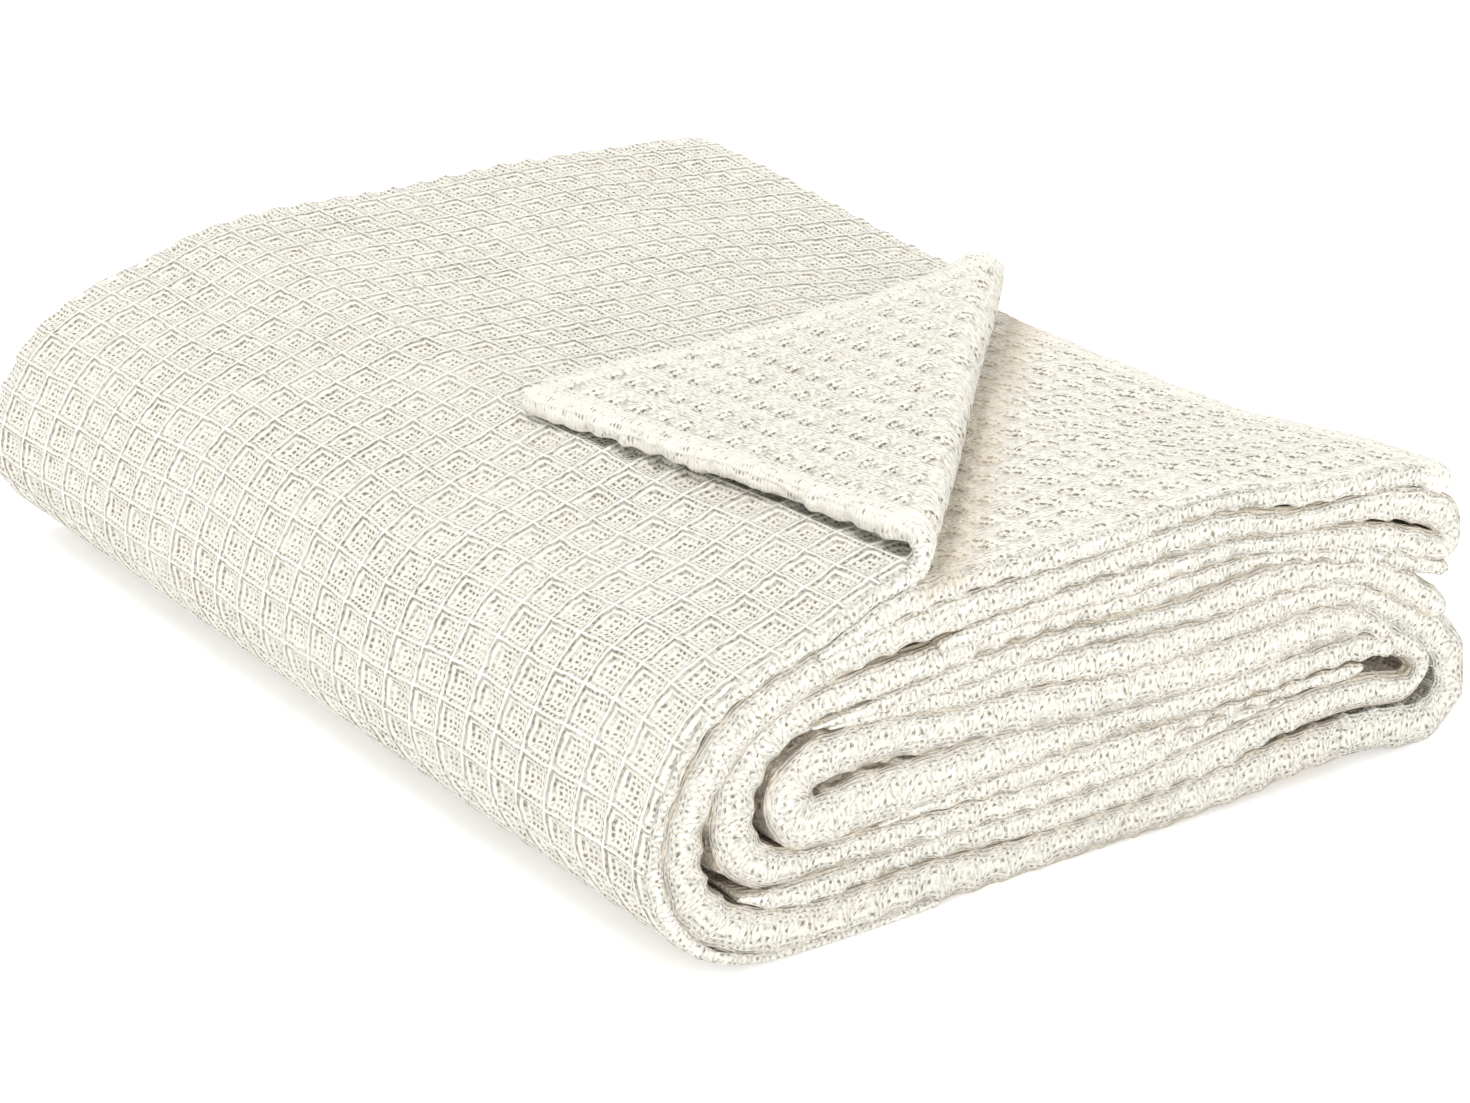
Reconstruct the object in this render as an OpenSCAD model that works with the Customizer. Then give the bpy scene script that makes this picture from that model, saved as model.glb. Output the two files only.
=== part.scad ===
// Folded throw blanket, millimetres.
// A waffle-weave throw folded in thirds across its width and then rolled flat, end over end.
// +X runs across the roll from the big left bulge to the open right end, +Y runs along the roll,
// +Z is up, and the origin is the middle of the footprint on the surface the throw lies on.
// The leaves are laid out level, and then every height is scaled down a little towards the
// right and the far end, as the soft stack settles there, which keeps each face flat.

/* [Folded stack] */
// Width across the leaves, from the left bulge to the right-hand turns
stack_w = 316; // [290:1:340]
// Length along the roll, which is a third of the throw's width
stack_l = 410; // [370:5:450]
// How much lower the top is at the right-hand end than at the left fold
right_drop = 9; // [0:0.5:14]
// How much lower the top is at the far end than at the near end
far_drop = 13; // [0:0.5:16]

/* [Cloth] */
// Thickness of one layer of waffle cloth
single_t = 6; // [5:0.5:7]
// Thickness of a leaf that is two layers folded together
double_t = 11; // [9:0.5:13]

/* [Hems] */
// Width of the turned and stitched hem
hem_w = 9; // [7:0.5:12]
// Distance from one stitch to the next
stitch_pitch = 5; // [4:0.5:8]
// Length of one stitch
stitch_len = 3.2; // [2:0.1:3.5]

/* [Turned-back corner] */
// Leg of the turned-back corner, measured along its hems
flap_leg = 206; // [150:1:225]
// Thickness of the turned-back corner, a little flatter than a free layer
flap_t = 5.2; // [4:0.1:5.2]

/* [Free ends] */
// Distance from the right-hand turns back to the ends of the two top leaves
top_end_inset = 12; // [8:1:20]
// Distance from the right-hand turns back to the upper right turn
upper_turn_inset = 4; // [2:1:10]
// Distance from the right-hand turns back to the end of the thin loose inner leaf
inner_end_inset = 9; // [6:1:20]

/* [Hidden] */

body_gap = 0.3;     // clearance between cloth that moves and cloth that stays
fold_gap = 0.3;     // set-back along X and Y of each side of the diagonal fold
wrap_shift = 1;     // how far the wrap's left turn sits to the right of the outer one
turn_gap = 5;       // air between the other turns and the next ones inside them
turn_step = 15;     // degrees between the sections of a turn
edge_step = 30;     // degrees between the points of a rounded edge
stitch_w = 0.9;     // width of a stitch
stitch_h = 0.4;     // how far a stitch stands on the hem
stitch_inset = 1.5; // from the hem's inner edge to its row of stitches

face_color = [0.93, 0.91, 0.85];
reverse_color = [0.91, 0.88, 0.81];
hem_color = [0.95, 0.93, 0.88];
thread_color = [0.97, 0.95, 0.90];

// Thickness of every leaf in the stack, from the surface up to the leaves that turn back
leaf_t = [
    single_t,                       // 0 outer_bottom_leaf
    double_t, double_t,             // 1 wrap_bottom_leaf, 2 middle_bottom_leaf
    single_t, single_t,             // 3 tucked_lower_leaf, 4 tucked_upper_leaf
    double_t, double_t,             // 5 core_lower_leaf, 6 core_upper_leaf
    double_t, single_t,             // 7 inner_long_leaf, 8 inner_end_leaf
    double_t, double_t              // 9 middle_top_leaf, 10 wrap_top_leaf
];
function level(i) = i == 0 ? 0 : level(i - 1) + leaf_t[i - 1];

left_x = -stack_w / 2;
right_x = stack_w / 2;
near_y = -stack_l / 2;
far_y = stack_l / 2;

second_z = level(11) + body_gap;
top_z = second_z + single_t;
page_top_z = top_z + single_t;
flap_z = page_top_z + body_gap;

// Left turns: radius, and the middle of each turn
outer_r = page_top_z / 2;
wrap_r = (level(11) - level(1)) / 2;
middle_r = (level(10) - level(2)) / 2;
core_r = (level(7) - level(5)) / 2;
outer_cx = left_x + outer_r;
wrap_cx = outer_cx + wrap_shift;
middle_cx = wrap_cx + turn_gap;
left_turn_z = (level(1) + level(11)) / 2;

// Right turns
right_outer_r = (level(7) - level(1)) / 2;
right_inner_r = (level(6) - level(2)) / 2;
right_outer_cx = right_x - right_outer_r;
right_inner_cx = right_outer_cx - turn_gap;
right_turn_z = (level(1) + level(7)) / 2;
tucked_cx = right_inner_cx - 2;
upper_turn_cx = right_x - upper_turn_inset - double_t;
inner_end_x = right_x - inner_end_inset;

// The page of two top leaves turns about a line on its upper face, just past the outer bulge
page_x = outer_cx + body_gap;
page_end_x = right_x - top_end_inset;

// The diagonal fold runs from the near edge to the end hem
fold_near_x = page_end_x - flap_leg;
fold_far_y = near_y + flap_leg;

right_slope = right_drop / page_top_z / (page_end_x - page_x);
far_slope = far_drop / page_top_z / stack_l;

// Where a point of the level layout lies once the stack has settled
function settled(p) =
    let(share = 1 - right_slope * max(0, p[0] - page_x) - far_slope * (p[1] - near_y))
    [p[0], p[1], p[2] * share];

// Edge of the diagonal fold on the side of the top leaf
function fold_x_at(y) = fold_near_x + (y - near_y) - fold_gap;
function fold_y_at(x) = near_y + (x - fold_near_x) + fold_gap;

function total(v, i = 0) = i == len(v) - 1 ? v[i] : v[i] + total(v, i + 1);
function mean(v) = total(v) / len(v);
function ring_normal(ring) =
    total([for (i = [0 : len(ring) - 1]) cross(ring[i], ring[(i + 1) % len(ring)])]);

// Solid through a row of closed rings that all have the same number of points
module sweep(rings) {
    m = len(rings);
    n = len(rings[0]);
    forward = ring_normal(rings[0]) * (mean(rings[1]) - mean(rings[0])) > 0;
    sides = [for (i = [0 : m - 2], j = [0 : n - 1])
        let(a = i * n + j, b = i * n + (j + 1) % n)
        each [[a, a + n, b], [b, a + n, b + n]]];
    first = [for (j = [0 : n - 1]) j];
    last = [for (j = [n - 1 : -1 : 0]) (m - 1) * n + j];
    faces = concat(sides, [first, last]);
    polyhedron(
        points = [for (ring = rings, p = ring) settled(p)],
        faces = forward ? faces : [for (f = faces) [for (k = [len(f) - 1 : -1 : 0]) f[k]]]
    );
}

// Section of a leaf at [x, z], t thick across the direction [nx, nz], with half-round edges
function leaf_ring(x, z, nx, nz, t) = [
    for (edge = [[far_y - t / 2, -90], [near_y + t / 2, 90]], a = [0 : edge_step : 180])
        let(off = t / 2 * sin(a + edge[1]))
        [x + nx * off, edge[0] + t / 2 * cos(a + edge[1]), z + nz * off]
];

// Flat leaf between two X positions
module leaf(x0, x1, z0, t) {
    sweep([for (x = [x0, x1]) leaf_ring(x, z0 + t / 2, 0, 1, t)]);
}

// Half turn of cloth about a line along Y. side is -1 for a left turn and 1 for a right turn
module turn(side, cx, cz, r_out, t) {
    r = r_out - t / 2;
    sweep([for (a = [-90 : turn_step : 90])
        leaf_ring(cx + side * r * cos(a), cz + r * sin(a), side * cos(a), sin(a), t)]);
}

// Tight half turn with no hollow, with its two ends eased
module tight_turn(side, cx, cz, r) {
    ease = r / 3;
    sections = [[near_y, r - ease], [near_y + ease, r], [far_y - ease, r], [far_y, r - ease]];
    sweep([for (s = sections) [for (a = [-90 : turn_step : 90])
        [cx + side * s[1] * cos(a), s[0], cz + s[1] * sin(a)]]]);
}

// Flat piece of cloth with the given outline
module slab(outline, z0, t) {
    sweep([for (z = [z0, z0 + t]) [for (p = outline) [p[0], p[1], z]]]);
}

// Hem with a half-round outer edge. start and stop give its ends, at a distance in from the edge
module hem(start, stop, z0, t) {
    profile = concat(
        [for (a = [90 : edge_step : 270]) [t / 2 + t / 2 * cos(a), t / 2 + t / 2 * sin(a)]],
        [[hem_w, 0], [hem_w, t]]
    );
    sweep([for (place = [start, stop]) [for (p = profile)
        let(xy = place(p[0])) [xy[0], xy[1], z0 + p[1]]]]);
}

// Stitches in a row from one point to another along X or Y, standing on a face at z0
module stitches(from, to, z0) {
    length = norm(to - from);
    along = (to - from) / length;
    across = [along[1], along[0]] * stitch_w / 2;
    for (i = [0 : floor(length / stitch_pitch) - 1]) {
        a = from + along * i * stitch_pitch;
        b = a + along * stitch_len;
        slab([a - across, b - across, b + across, a + across], z0, stitch_h);
    }
}

module corner_flap() {
    color(reverse_color) slab([
        [fold_near_x + hem_w, fold_y_at(fold_near_x + hem_w)],
        [fold_x_at(fold_far_y - hem_w), fold_far_y - hem_w],
        [fold_near_x + hem_w, fold_far_y - hem_w]
    ], flap_z, flap_t);
}

module flap_side_hem() {
    color(hem_color) hem(
        function(w) [fold_near_x + w, fold_y_at(fold_near_x + w)],
        function(w) [fold_near_x + w, fold_far_y - hem_w],
        flap_z, flap_t);
}

module flap_end_hem() {
    color(hem_color) hem(
        function(w) [fold_near_x, fold_far_y - w],
        function(w) [fold_x_at(fold_far_y - w), fold_far_y - w],
        flap_z, flap_t);
}

module flap_stitching() {
    row_x = fold_near_x + hem_w - stitch_inset;
    row_y = fold_far_y - hem_w + stitch_inset;
    color(thread_color) {
        stitches([row_x, near_y + 3 * hem_w], [row_x, fold_far_y - 1.5 * hem_w], flap_z + flap_t);
        stitches([fold_near_x + 1.5 * hem_w, row_y], [page_end_x - 3 * hem_w, row_y],
            flap_z + flap_t);
    }
}

module top_leaf() {
    color(face_color) slab([
        [page_x, near_y + hem_w],
        [fold_x_at(near_y + hem_w), near_y + hem_w],
        [page_end_x - hem_w, fold_y_at(page_end_x - hem_w)],
        [page_end_x - hem_w, far_y],
        [page_x, far_y]
    ], top_z, single_t);
}

module top_leaf_side_hem() {
    color(hem_color) hem(
        function(w) [page_x, near_y + w],
        function(w) [fold_x_at(near_y + w), near_y + w],
        top_z, single_t);
}

module top_leaf_end_hem() {
    color(hem_color) hem(
        function(w) [page_end_x - w, fold_y_at(page_end_x - w)],
        function(w) [page_end_x - w, far_y],
        top_z, single_t);
}

module top_leaf_stitching() {
    row_x = page_end_x - hem_w + stitch_inset;
    color(thread_color) stitches([row_x, fold_far_y + hem_w], [row_x, far_y - 2], page_top_z);
}

module second_leaf() {
    color(reverse_color) leaf(page_x, page_end_x - hem_w, second_z, single_t);
}

module second_leaf_end_hem() {
    color(hem_color) hem(
        function(w) [page_end_x - w, near_y],
        function(w) [page_end_x - w, far_y],
        second_z, single_t);
}

module second_leaf_stitching() {
    row_x = page_end_x - hem_w + stitch_inset;
    color(thread_color)
        stitches([row_x, near_y + 2 * hem_w], [row_x, fold_far_y - 3 * hem_w], top_z);
}

module outer_left_fold() {
    color(face_color) turn(-1, outer_cx, outer_r, outer_r, single_t);
}

module outer_bottom_leaf() {
    color(face_color) leaf(outer_cx, right_outer_cx, 0, single_t);
}

module wrap_top_leaf() {
    color(face_color) leaf(wrap_cx, upper_turn_cx, level(10), double_t);
}

module wrap_left_fold() {
    color(face_color) turn(-1, wrap_cx, left_turn_z, wrap_r, double_t);
}

module wrap_bottom_leaf() {
    color(face_color) leaf(wrap_cx, right_outer_cx, level(1), double_t);
}

module right_upper_fold() {
    color(face_color) tight_turn(1, upper_turn_cx, level(10), double_t);
}

module middle_top_leaf() {
    color(face_color) leaf(middle_cx, upper_turn_cx, level(9), double_t);
}

module middle_left_fold() {
    color(face_color) turn(-1, middle_cx, left_turn_z, middle_r, double_t);
}

module middle_bottom_leaf() {
    color(face_color) leaf(middle_cx, right_inner_cx, level(2), double_t);
}

module right_inner_fold() {
    color(face_color) turn(1, right_inner_cx, right_turn_z, right_inner_r, double_t);
}

module right_outer_fold() {
    color(face_color) turn(1, right_outer_cx, right_turn_z, right_outer_r, double_t);
}

module core_upper_leaf() {
    color(face_color) leaf(wrap_cx, right_outer_cx, level(6), double_t);
}

module core_left_fold() {
    color(face_color) tight_turn(-1, wrap_cx, level(6), core_r);
}

module core_lower_leaf() {
    color(face_color) leaf(wrap_cx, right_inner_cx, level(5), double_t);
}

module inner_end_leaf() {
    color(face_color) leaf(middle_cx + single_t, inner_end_x, level(8), single_t);
}

module inner_long_leaf() {
    color(face_color) leaf(middle_cx + single_t / 2, inner_end_x - 2, level(7), double_t);
}

module tucked_upper_leaf() {
    color(face_color) leaf(middle_cx + single_t / 2, tucked_cx, level(4), single_t);
}

module tucked_fold() {
    color(face_color) tight_turn(1, tucked_cx, level(4), single_t);
}

module tucked_lower_leaf() {
    color(face_color) leaf(middle_cx + single_t / 2, tucked_cx, level(3), single_t);
}

corner_flap();
flap_side_hem();
flap_end_hem();
flap_stitching();
top_leaf();
top_leaf_side_hem();
top_leaf_end_hem();
top_leaf_stitching();
second_leaf();
second_leaf_end_hem();
second_leaf_stitching();
outer_left_fold();
outer_bottom_leaf();
wrap_top_leaf();
wrap_left_fold();
wrap_bottom_leaf();
right_upper_fold();
middle_top_leaf();
middle_left_fold();
middle_bottom_leaf();
right_inner_fold();
right_outer_fold();
core_upper_leaf();
core_left_fold();
core_lower_leaf();
inner_end_leaf();
inner_long_leaf();
tucked_upper_leaf();
tucked_fold();
tucked_lower_leaf();
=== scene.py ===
import math

import bmesh
import bpy
import numpy as np
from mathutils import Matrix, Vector
from mathutils.bvhtree import BVHTree
from mathutils.interpolate import poly_3d_calc


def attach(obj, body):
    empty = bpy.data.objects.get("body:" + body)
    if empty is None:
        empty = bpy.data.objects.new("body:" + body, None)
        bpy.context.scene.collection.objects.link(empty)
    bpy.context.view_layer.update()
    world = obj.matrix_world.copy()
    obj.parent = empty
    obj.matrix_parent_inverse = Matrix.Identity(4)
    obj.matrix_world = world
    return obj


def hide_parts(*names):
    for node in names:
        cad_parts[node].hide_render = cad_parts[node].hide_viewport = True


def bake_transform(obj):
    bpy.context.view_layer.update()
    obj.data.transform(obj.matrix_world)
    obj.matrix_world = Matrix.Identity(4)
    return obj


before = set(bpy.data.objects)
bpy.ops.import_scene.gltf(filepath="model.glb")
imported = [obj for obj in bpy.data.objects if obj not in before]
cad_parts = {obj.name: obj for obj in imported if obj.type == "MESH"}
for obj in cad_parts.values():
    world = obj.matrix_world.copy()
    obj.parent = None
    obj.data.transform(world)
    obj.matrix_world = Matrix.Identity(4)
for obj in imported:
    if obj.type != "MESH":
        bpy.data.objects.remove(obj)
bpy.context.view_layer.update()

# Lengths below are in millimetres: x across the stack from its left edge, y from the near edge to the far one,
# z up from the floor. to_frame() turns them into the frame's metres.
WIDTH, DEPTH = 316.0, 410.0
CELL_U, CELL_V = 12.2, 15.1  # waffle pitch along the folded path and along the stack
FOLD_X = 98.0  # where the turned-back corner's fold meets the near edge
FOLD_LENGTH = 300.0
FOLD_ANGLE = math.radians(46.8)
ALONG = np.array([math.cos(FOLD_ANGLE), math.sin(FOLD_ANGLE)])  # along the fold, away from the near edge
ACROSS = np.array([math.sin(FOLD_ANGLE), -math.cos(FOLD_ANGLE)])  # across it, towards the cloth's corner
SEAM_X = 20.0  # the two pieces of the outer layer meet here, low on its left turn
CUT = -14.0  # the fold's cloth starts this far before the fold
CUT_FLAP = 16.0  # and the turned-back corner's own piece this far past it, measured flat
CORNER_X, CORNER_Y = 206.0, 218.0  # about how far the flat corner reaches along its two edges
PULL_X, PULL_Y = 24.0, 8.0  # its tip is drawn in this far
BOW = 11.0  # and its end hem is bowed in this far
FOLD_RADIUS, FOLD_OPENS = 4.5, 4.5  # the fold's radius at the near edge, and what its far end adds
CORNER_REST = 7.7  # height of the turned corner's middle above the middle of the page under it
HEM = 8.5  # width of the end hems
PAST_TURN = 180.0  # lengths past this along the outer path are above its left turn
EDGE_RADIUS = 3.8  # largest radius of a leaf's long edge, measured in y
EDGE_POWER = 0.62  # below 1 the rounded edge is flatter in its middle


def smooth(a, b, x):
    t = np.clip((x - a) / (b - a), 0, 1)
    return t * t * (3 - 2 * t)


# ---------------------------------------------------------------- paths
class Path:
    """A smooth line through given (x, z, thickness) points, measured by its length."""

    def __init__(self, points, fuller=0.0):
        p = np.array(points, float)
        p[:, 2] += fuller * smooth(0, 6, p[:, 2])
        d = np.r_[0, np.cumsum(np.linalg.norm(np.diff(p[:, :2], axis=0), axis=1))]
        fine = np.linspace(0, d[-1], 4000)
        cols = np.array([self.natural(d, p[:, c], fine) for c in (0, 1)]).T
        thick = np.interp(fine, d, p[:, 2])
        s = np.r_[0, np.cumsum(np.linalg.norm(np.diff(cols, axis=0), axis=1))]
        self.length = s[-1]
        self.s = np.linspace(0, s[-1], 4000)
        self.x, self.z = (np.interp(self.s, s, cols[:, c]) for c in (0, 1))
        self.t = np.interp(self.s, s, thick)
        width = 61
        kernel = np.hanning(width) / np.hanning(width).sum()
        self.t = np.convolve(np.pad(self.t, width // 2, mode="edge"), kernel, "valid")
        tx, tz = np.gradient(self.x, self.s), np.gradient(self.z, self.s)
        size = np.hypot(tx, tz)
        self.tx, self.tz = tx / size, tz / size

    @staticmethod
    def natural(d, v, at):
        n = len(d)
        h = np.diff(d)
        a, b = np.zeros((n, n)), np.zeros(n)
        a[0, 0] = a[-1, -1] = 1
        for i in range(1, n - 1):
            a[i, i - 1], a[i, i], a[i, i + 1] = h[i - 1], 2 * (h[i - 1] + h[i]), h[i]
            b[i] = 3 * ((v[i + 1] - v[i]) / h[i] - (v[i] - v[i - 1]) / h[i - 1])
        c = np.linalg.solve(a, b)
        k = np.clip(np.searchsorted(d, at) - 1, 0, n - 2)
        e = at - d[k]
        lin = (v[k + 1] - v[k]) / h[k] - h[k] * (2 * c[k] + c[k + 1]) / 3
        return v[k] + lin * e + c[k] * e**2 + (c[k + 1] - c[k]) / (3 * h[k]) * e**3

    def at(self, u):
        """x, z and the unit tangent at length u, going straight on past both ends."""
        inside = np.clip(u, 0, self.length)
        x, z = np.interp(inside, self.s, self.x), np.interp(inside, self.s, self.z)
        tx, tz = np.interp(inside, self.s, self.tx), np.interp(inside, self.s, self.tz)
        over = u - inside
        return x + tx * over, z + tz * over, tx, tz

    def where_x(self, x, after=0.0):
        """The first length past after at which the path crosses x."""
        ok = self.s > after
        k = np.nonzero(np.diff(np.sign(self.x[ok] - x)))[0][0]
        return float(self.s[ok][k])


OUTER = Path([
    (104, 1.5, 2.6), (78, 1.5, 2.6), (58, 1.7, 2.8), (42, 2.7, 3.4), (26, 7.4, 4.4),
    (14.2, 16.4, 5.2), (7.2, 27, 6.2), (3.9, 37, 6.8), (3.9, 48.5, 6.8), (8.4, 63.2, 6.8),
    (22.8, 83.0, 6.6), (37.2, 92.2, 6.6), (58.0, 100.2, 6.6), (74, 105.6, 6.6), (88.5, 109.6, 6.5),
    (105, 110.9, 6.4), (150, 111.3, 6.4), (200, 111.0, 6.4), (240, 107.8, 6.4), (280, 104, 6.4),
    (304, 101.5, 6.4),
])
SECOND = Path([
    (60, 94.4, 3.4), (72, 98.4, 6.2), (86, 102.2, 7.8), (104, 103.6, 7.8), (150, 103.6, 7.4),
    (200, 103.8, 7.4), (215, 103.2, 7.4), (230, 100.6, 7.4), (245, 98.2, 7.4), (262, 96.6, 7.4),
    (277, 95.4, 7.4), (290, 92.8, 7.4), (301, 89.2, 7.2),
], fuller=0.9)
WRAP = Path([
    (64, 70.2, 1.2), (78, 69.9, 2.6), (92, 69.4, 4.6), (104, 68.0, 7.0), (117, 67.3, 8.8), (129, 68.0, 8.2),
    (150, 66.7, 8.6), (175, 64.5, 9.4), (197, 63.2, 9.4), (237, 63.6, 9.4), (252, 62.3, 7.8),
    (267, 58.6, 7.6), (279, 52.3, 8.6), (290, 45.6, 10.0), (301, 38.0, 11.0), (308.6, 28.5, 12.0),
    (310.2, 18.5, 12.0), (305.5, 10.5, 12.0), (297, 7.6, 11.6), (284, 9.2, 12.0), (262, 11.2, 12.6),
    (240, 10.2, 13.0), (215, 8.6, 13.0), (185, 7.2, 12.6), (160, 6.9, 12.0), (126, 6.8, 11.4),
    (110, 7.8, 12.6), (90, 8.2, 13.0), (62, 8.0, 12.6), (48, 9.4, 12.8), (35, 13.0, 13.4),
    (24, 19.4, 13.6), (16.8, 28.5, 13.8), (14.0, 38, 13.6), (14.2, 48.5, 13.8), (19.2, 61.5, 13.8),
    (29.8, 74.4, 13.8), (42.6, 83.0, 13.4), (60, 89.4, 11.6), (78, 92.8, 9.6), (98, 94.3, 8.8),
    (125, 94.9, 8.6), (150, 95.2, 8.6), (200, 96.2, 8.4), (222, 93.6, 7.2), (240, 89.5, 7.0),
    (262, 88.0, 7.4), (275, 86.8, 8.8), (286, 84.4, 9.4), (297.6, 79.6, 9.6), (305.6, 72.4, 9.6),
    (304.2, 66.4, 9.0), (296, 67.2, 8.6), (284, 71.8, 8.8), (270, 76.0, 8.8), (257, 79.2, 8.0),
    (240, 82.7, 6.4), (217, 87.2, 5.6), (185, 88.4, 5.8), (150, 87.9, 5.8), (120, 86.4, 5.4),
    (104, 85.4, 3.6),
], fuller=2.5)
MIDDLE = Path([
    (238, 29.6, 3.0), (220, 29.6, 5.0), (187, 27.6, 6.6), (150, 26.1, 7.0), (110, 26.4, 7.6),
    (80, 27.0, 9.0), (60, 27.5, 9.4), (46, 29.2, 11.2), (37.6, 33.6, 13.0), (32.6, 40.4, 14.6),
    (31.2, 48.6, 15.2), (33.0, 58, 15.2), (38.6, 66.6, 14.6), (48, 73.4, 12.8), (60, 77.4, 10.8),
    (74, 79.6, 9.0), (90, 80.8, 8.0), (107, 81.3, 7.3), (129, 81.8, 7.0), (160, 81.5, 7.0),
    (200, 81.0, 7.4), (228, 80.0, 4.6), (242, 77.6, 3.8), (260, 73.0, 4.0), (272, 69.4, 4.2),
    (285, 64.8, 4.6), (297, 60.2, 4.8), (304, 58.0, 4.4),
], fuller=2.5)
UPPER_WEDGE = Path([
    (58, 71.8, 1.2), (74, 72.6, 3.4), (90, 73.3, 5.8), (107, 74.3, 6.8), (129, 75.0, 7.0), (160, 74.5, 7.0),
    (200, 72.8, 8.0), (228, 73.2, 8.4), (242, 72.0, 7.6), (260, 67.6, 7.0), (271, 65.0, 7.0),
    (283, 59.0, 7.6), (294, 51.8, 8.0), (302, 46.2, 7.2),
], fuller=2.5)
CORE = Path([
    (34, 23.6, 1.6), (46, 20.2, 5.0), (60, 18.8, 8.2), (90, 19.0, 8.0), (115, 18.6, 8.2), (150, 17.6, 9.6),
    (187, 19.1, 10.0), (215, 21.4, 10.6), (240, 24.8, 10.0), (260, 25.2, 9.6), (276, 23.4, 9.0),
    (287, 21.0, 7.6), (294.4, 21.2, 6.6), (297.8, 25.6, 6.2), (295.6, 31.2, 6.4), (288.6, 36.0, 6.8),
    (281.4, 41.6, 7.4), (273, 46.8, 9.4), (262, 50.2, 12.2), (248, 51.8, 13.6), (225, 52.0, 13.4),
    (200, 51.9, 13.0), (175, 52.8, 13.0), (150, 54.5, 13.0), (130, 56.8, 13.4), (104, 58.0, 13.6),
    (88, 60.1, 15.2), (72, 60.6, 15.2), (57.0, 58.0, 14.6), (50.2, 50.4, 14.8), (55.4, 42.4, 15.6),
    (72, 42.0, 18.0), (90, 42.3, 19.0), (110, 43.4, 15.6), (129, 44.0, 12.8), (150, 43.0, 10.0),
    (200, 41.0, 9.2), (230, 41.2, 7.6), (255, 40.6, 7.2), (270, 39.6, 6.4), (281, 37.0, 5.0),
], fuller=2.5)
LOWER_WEDGE = Path([
    (84, 32.4, 1.2), (104, 33.8, 3.4), (125, 34.0, 6.4), (150, 33.8, 7.8), (187, 32.1, 8.0), (215, 32.6, 6.4),
    (236, 33.3, 4.4), (252, 33.4, 4.2), (264, 33.0, 4.0), (270, 32.8, 2.6),
], fuller=2.5)
TOP_FROM = OUTER.where_x(60, PAST_TURN)  # from here the outer path runs along the top


def top_height(x):
    """Height of the outer layer's middle along the top, as a function of x alone."""
    ok = OUTER.s > TOP_FROM
    return np.interp(x, OUTER.x[ok], OUTER.z[ok])


# ---------------------------------------------------------------- shape
def past_fold(x, y):
    """How far a flat point lies past the corner's fold."""
    return (x - FOLD_X) * ACROSS[0] + y * ACROSS[1]


def sink(x, y):
    """Share of the near face's height at (x, y): the stack slopes to the back and sags on its right."""
    right = 0.00042 * np.clip(x - 57, 0, None)
    return 1 - 0.12 * y / DEPTH - right * smooth(0, 110, y) * (1 - smooth(235, 410, y))


def soften(p):
    """Slow waves that a soft folded cloth has, flat where the turned-back corner rests."""
    x, y, z = p.T
    lift = np.clip(z / 110, 0, 1) * (1 - smooth(-175, -125, past_fold(x, y)) * smooth(84, 100, z))
    wave = 0.8 * np.sin(x / 41 + 0.7) * np.sin(y / 57 + 1.1) + 0.5 * np.sin(x / 23 - y / 33 + 2.0)
    side = 1 - smooth(0, 70, x)
    px = x + side * (0.9 * np.sin(y / 44 + 0.4) + 0.5 * np.sin(y / 19 + z / 25)) * lift
    py = y + 1.1 * np.sin(x / 61 + z / 37 + 0.5) + 0.5 * np.sin(x / 17 + z / 13)
    return np.c_[px, py, z + wave * lift]


def to_frame(p):
    """Millimetres from the stack's corner to metres in the CAD frame."""
    return np.c_[p[:, 0] - WIDTH / 2, p[:, 1] - DEPTH / 2, p[:, 2]] / 1000


def place(path, flat):
    """Lays flat points (length, y, height above the middle) on a path."""
    u, y, h = flat.T
    x, z, tx, tz = path.at(u)
    nx, nz = -tz, tx
    px = x + nx * h
    return to_frame(soften(np.c_[px, y, (z + nz * h) * sink(px, y)]))


def place_outer(flat):
    """The outer layer: round the left, along the top, and folded back at the near right corner."""
    u, y, h = flat.T
    x, z, tx, tz = OUTER.at(u)
    top = u > TOP_FROM
    on_top = np.where(top, smooth(90, 118, x), 0)
    nx, nz = -tz * (1 - on_top), tx * (1 - on_top) + on_top
    reach = np.clip((x - FOLD_X) / CORNER_X, 0, 1.1)
    pull = np.where(top, reach * np.clip(1 - y / CORNER_Y, 0, 1.02), 0)
    inward = BOW * np.where(top, np.sin(math.pi * np.clip(y / CORNER_Y, 0, 1)) * reach**2, 0)
    x, y = x - PULL_X * pull - inward, y - PULL_Y * pull
    px = x + nx * h
    plain = np.c_[px, y, (z + nz * h) * sink(px, y)]
    s = past_fold(x, y)
    p = (x - FOLD_X) * ALONG[0] + y * ALONG[1]
    radius = FOLD_RADIUS + FOLD_OPENS * np.clip(p / FOLD_LENGTH, 0, 1) ** 2.5
    begin = -math.pi / 2 * radius
    turn = np.clip((s - begin) / radius, 0, math.pi)
    past = np.clip(s - begin - math.pi * radius, 0, None)
    q = begin + radius * np.sin(turn) - past - h * np.sin(turn)
    rest = CORNER_REST + 0.6 * np.sin(p / 38 + 0.6) ** 2 * smooth(20, 70, past)
    lift = radius * (1 - np.cos(turn)) + (rest - 2 * radius) * (1 - np.exp(-past / 32))
    fx, fy = FOLD_X + q * ACROSS[0] + p * ALONG[0], q * ACROSS[1] + p * ALONG[1]
    k = sink(fx, fy)
    folded = np.c_[fx, fy, top_height(fx) * k + lift + h * np.cos(turn) * k]
    use = (s > begin) & top
    return to_frame(soften(np.where(use[:, None], folded, plain)))


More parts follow.
